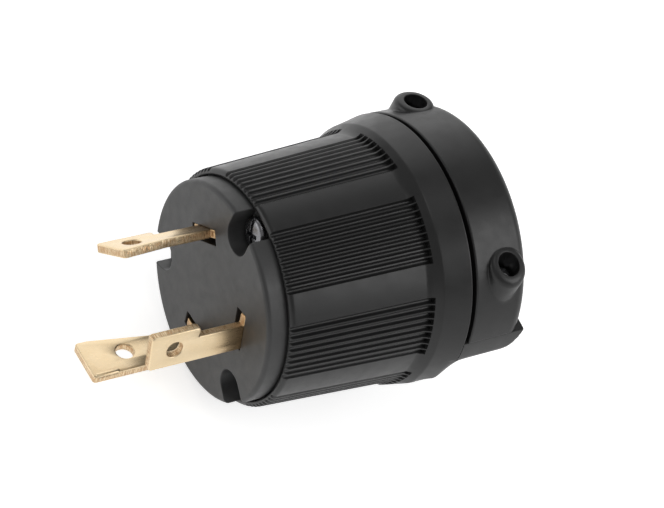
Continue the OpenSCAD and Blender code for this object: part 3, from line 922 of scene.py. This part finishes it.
def polished_brass(name, colour):
    """Satin blade brass with faint drawn lines, streaked on its edges, and with painted shade that
    makes it browner by the face.
    """
    finish = Finish(name)
    where = finish.own_place()
    split = finish.add("ShaderNodeSeparateXYZ")
    finish.link(where, split.inputs[0])
    drawn = finish.noise(where, 0.12, 3, 0.6, (0.06, 1, 1))
    lines = finish.bump(drawn, 0.006, 0.25, finish.rounded(0.15))

    distance = finish.maths("ABSOLUTE", finish.maths("SUBTRACT", split.outputs["Z"], BLADE_T / 2))
    on_edge = finish.span(distance, 1, 0, BLADE_T / 2 - 0.35, BLADE_T / 2 - 0.15)
    sheared = finish.span(finish.noise(where, 0.14, 2, 0.5, (1, 1, 0.1)), 0, 1, 0.42, 0.58)
    streaks = finish.maths("MULTIPLY", sheared, on_edge)

    # The second colour is painted shade, used where the blade comes out of the face.
    stained, face_shade_brown, torn = (
        tuple(c * share for c, share in zip(colour, shares))
        for shares in ((0.95, 0.92, 0.86), (0.6, 0.5, 0.4), (0.68, 0.53, 0.43))
    )
    plain = finish.shade(finish.span(finish.noise(where, 5, 3), 0, 1), stained, colour)
    # Painted shade: the brass turns darker and browner towards the face.
    plain = finish.shade(finish.span(split.outputs["X"], 0, 1, -7, -0.5), plain, face_shade_brown)
    finish.set(Metallic=1.0)
    finish.feed(
        Base_Color=finish.shade(streaks, plain, torn),
        Roughness=finish.span(drawn, 0.25, 0.36),
        Normal=finish.bump(streaks, 0.08, 0.8, lines),
    )
    return finish.material


def plain_metal(name, colour, roughness, metallic=1.0, owned=True):
    """Plated or turned metal with a faint grain."""
    finish = Finish(name)
    where = finish.own_place() if owned else finish.object_mm()
    stain = finish.noise(where, 1.6, 3)
    dark = tuple(c * 0.82 for c in colour)
    grain = finish.noise(where, 0.25, 4)
    finish.set(Metallic=metallic)
    finish.feed(
        Base_Color=finish.shade(finish.span(stain, 0, 1), dark, colour),
        Roughness=finish.span(grain, roughness - 0.06, roughness + 0.08),
        Normal=finish.bump(grain, 0.012, 0.5, finish.rounded(0.1)),
    )
    return finish.material


BLACK_NYLON = dict(
    colour=(0.013, 0.013, 0.013), roughness=0.34, shine=0.4, grain_mm=0.16, grain_depth_mm=0.012,
)
FACE_NYLON = dict(
    colour=(0.036, 0.036, 0.036), roughness=0.45, shine=0.45, grain_mm=0.2, grain_depth_mm=0.022,
)
BACK_NYLON = dict(
    colour=(0.1, 0.1, 0.105), roughness=0.5, shine=0.4, grain_mm=0.2, grain_depth_mm=0.02,
)
BRASS = (0.72, 0.53, 0.25)
ZINC = (0.58, 0.58, 0.6)
MATERIALS = {
    "housing": moulded("satin_black_nylon", **BLACK_NYLON, edge_mm=0.3),
    "carrier": moulded("grained_grey_nylon", **FACE_NYLON, edge_mm=0.35),
    "retainer": moulded("grey_nylon", **BACK_NYLON, edge_mm=0.3),
    "blade_brass": polished_brass("blade_brass", (0.78, 0.63, 0.42)),
    "terminal_brass": plain_metal("terminal_brass", BRASS, 0.35),
    "steel": plain_metal("zinc_steel", ZINC, 0.34),
    "green_screw": plain_metal("green_coating", (0.04, 0.22, 0.08), 0.35, 0.6),
}
SLEEVE_NYLON = moulded("satin_black_nylon_sleeve", **BLACK_NYLON, edge_mm=0)
# Steel darkened as painted shade, for the assembly screws deep in the face's notches.
SHADED_STEEL = plain_metal("shade_darkened_steel", (0.22, 0.22, 0.23), 0.28)
# Steel lightened for a painted glint on the clamp screw heads in their recesses.
GLINT_STEEL = plain_metal("glint_lightened_steel", (0.86, 0.86, 0.88), 0.2)
LOOSE_BRASS = plain_metal("insert_brass", BRASS, 0.38, owned=False)
LOOSE_STEEL = plain_metal("nut_steel", ZINC, 0.38, owned=False)


def dress(thing, body, slot, *nodes):
    """Gives a new piece the material of its slot and its body, and hides the CAD nodes that it
    stands for.
    """
    thing.data.materials.clear()
    thing.data.materials.append(MATERIALS[slot])
    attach(thing, body)
    if nodes:
        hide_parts(*nodes)


def paint_node(node, material):
    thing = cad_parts[node]
    for entry in thing.material_slots:
        entry.material = material


# ---------------------------------------------------------------- the plug
sleeve = make_sleeve()
dress(sleeve, "housing", "housing", "housing")
sleeve.data.materials[0] = SLEEVE_NYLON
dress(make_cradle(), "housing", "housing", "housing")
for number in (1, 2, 3):
    dress(make_insert_boss(number), "housing", "housing", "housing")
dress(make_jaw(), "jaw", "housing", "cord_clamp_jaw")
for kind in BLADES:
    dress(make_blade(kind), "carrier", "blade_brass", f"blade_{kind}")
for thing, body, node, slot in make_screws():
    dress(thing, body, slot, node)
    if node.startswith("assembly"):
        # Steel darkened as painted shade.
        thing.data.materials[0] = SHADED_STEEL
    elif node.startswith("clamp"):
        # Steel lightened for a painted glint.
        thing.data.materials[0] = GLINT_STEEL

paint_node("blade_carrier", MATERIALS["carrier"])
paint_node("terminal_retainer", MATERIALS["retainer"])
paint_node("threaded_inserts", LOOSE_BRASS)
paint_node("clamp_nuts", LOOSE_STEEL)
for kind in BLADES:
    paint_node(f"terminal_plate_{kind}", LOOSE_BRASS)


# ---------------------------------------------------------------- floor and light
FLOOR_LIFT = 0.65
FLOOR_DIM = 0.45  # share of the reflection that is left where the floor is dimmest
FLOOR_DIM_SPAN = (-10, 90)  # along the picture's width
FLOOR_REACH = 4000


def floor_finish():
    """Pale matt floor that keeps the shadow. It shows white, but dimmer in some reflections."""
    finish = Finish("pale_floor")
    finish.set(
        Base_Color=(0.85, 0.85, 0.85, 1), Roughness=0.9, Specular_IOR_Level=0.1,
        Emission_Color=(1, 1, 1, 1),
    )
    across = finish.add("ShaderNodeVectorMath", operation="DOT_PRODUCT")
    across.inputs[1].default_value = TURN.col[0]
    finish.link(finish.object_mm(), across.inputs[0])
    dimmed = finish.span(across.outputs["Value"], 1, FLOOR_DIM, *FLOOR_DIM_SPAN)
    path = finish.add("ShaderNodeLightPath")
    mirrored = finish.maths("MULTIPLY", path.outputs["Is Glossy Ray"], dimmed)
    seen = finish.maths("MAXIMUM", path.outputs["Is Camera Ray"], mirrored)
    finish.feed(Emission_Strength=finish.maths("MULTIPLY", seen, FLOOR_LIFT))
    return finish.material


LIP_REST = Vector((LIP_END_X, 0, -SLEEVE_FRONT_R))
HEEL_REST = Vector((GRIP_END_X + (BASE_FLAT - SLEEVE_REAR_R) / FLARE, 0, -BASE_FLAT))
FLOOR_ALONG = (HEEL_REST - LIP_REST).normalized()
FLOOR_ACROSS = Vector((0, 1, 0))
FLOOR_UP = FLOOR_ALONG.cross(FLOOR_ACROSS)
STUDIO_LIGHT = 0.42
WALLS = {"From Min": 0.14, "From Max": 0.32, "To Min": 1, "To Max": 0.36}


def make_floor():
    """The plug rests on its lip and on the front end of its base flat."""
    centre = (LIP_REST + HEEL_REST) / 2
    along, across = FLOOR_ALONG * FLOOR_REACH, FLOOR_ACROSS * FLOOR_REACH
    corners = [centre + along * a + across * b for a, b in ((-1, -1), (1, -1), (1, 1), (-1, 1))]
    floor = from_points("floor", corners, [(0, 1, 2, 3)])
    floor.data.materials.append(floor_finish())


def make_world():
    """Plain studio light. Its walls show white near the floor and greyer higher up."""
    world = bpy.data.worlds.new("studio")
    world.use_nodes = True
    tree = world.node_tree

    def add(kind, **settings):
        node = tree.nodes.new(kind)
        for key, value in settings.items():
            setattr(node, key, value)
        return node

    height = add("ShaderNodeVectorMath", operation="DOT_PRODUCT")
    height.inputs[1].default_value = FLOOR_UP
    tree.links.new(add("ShaderNodeTexCoord").outputs["Generated"], height.inputs[0])
    size = add("ShaderNodeMath", operation="ABSOLUTE")
    tree.links.new(height.outputs["Value"], size.inputs[0])
    walls = add("ShaderNodeMapRange", interpolation_type="SMOOTHSTEP")
    for key, number in WALLS.items():
        walls.inputs[key].default_value = number
    tree.links.new(size.outputs[0], walls.inputs["Value"])
    path = add("ShaderNodeLightPath")
    seen = add("ShaderNodeMath", operation="MAXIMUM")
    tree.links.new(path.outputs["Is Camera Ray"], seen.inputs[0])
    tree.links.new(path.outputs["Is Glossy Ray"], seen.inputs[1])
    light = add("ShaderNodeMix", data_type="FLOAT")
    light.inputs["A"].default_value = STUDIO_LIGHT
    tree.links.new(seen.outputs[0], light.inputs["Factor"])
    tree.links.new(walls.outputs["Result"], light.inputs["B"])
    background = tree.nodes["Background"]
    background.inputs["Color"].default_value = (1, 1, 1, 1)
    tree.links.new(light.outputs["Result"], background.inputs["Strength"])
    bpy.context.scene.world = world


def soft_light(name, direction, distance, size, power):
    """A square lamp. Its direction is in the camera's axes: right, up and towards the camera."""
    data = bpy.data.lights.new(name, "AREA")
    data.shape = "SQUARE"
    data.size = size
    data.energy = power
    lamp = bpy.data.objects.new(name, data)
    middle = Vector((18, 0, 0)) * MM
    outward = (TURN @ Vector(direction)).normalized()
    lamp.location = middle + outward * distance
    lamp.rotation_euler = outward.to_track_quat("Z", "Y").to_euler()
    bpy.context.scene.collection.objects.link(lamp)


make_floor()
make_world()
soft_light("top", (0.05, 0.97, -0.1), 0.7, 0.6, 1.1)
soft_light("right", (0.95, 0.0, 0.4), 0.7, 0.45, 1.6)
soft_light("left", (-0.85, 0.25, 0.35), 0.7, 0.5, 0.9)
soft_light("high", (0.32, 0.56, 0.76), 0.8, 0.25, 0.35)
bpy.context.scene.view_settings.view_transform = "Standard"
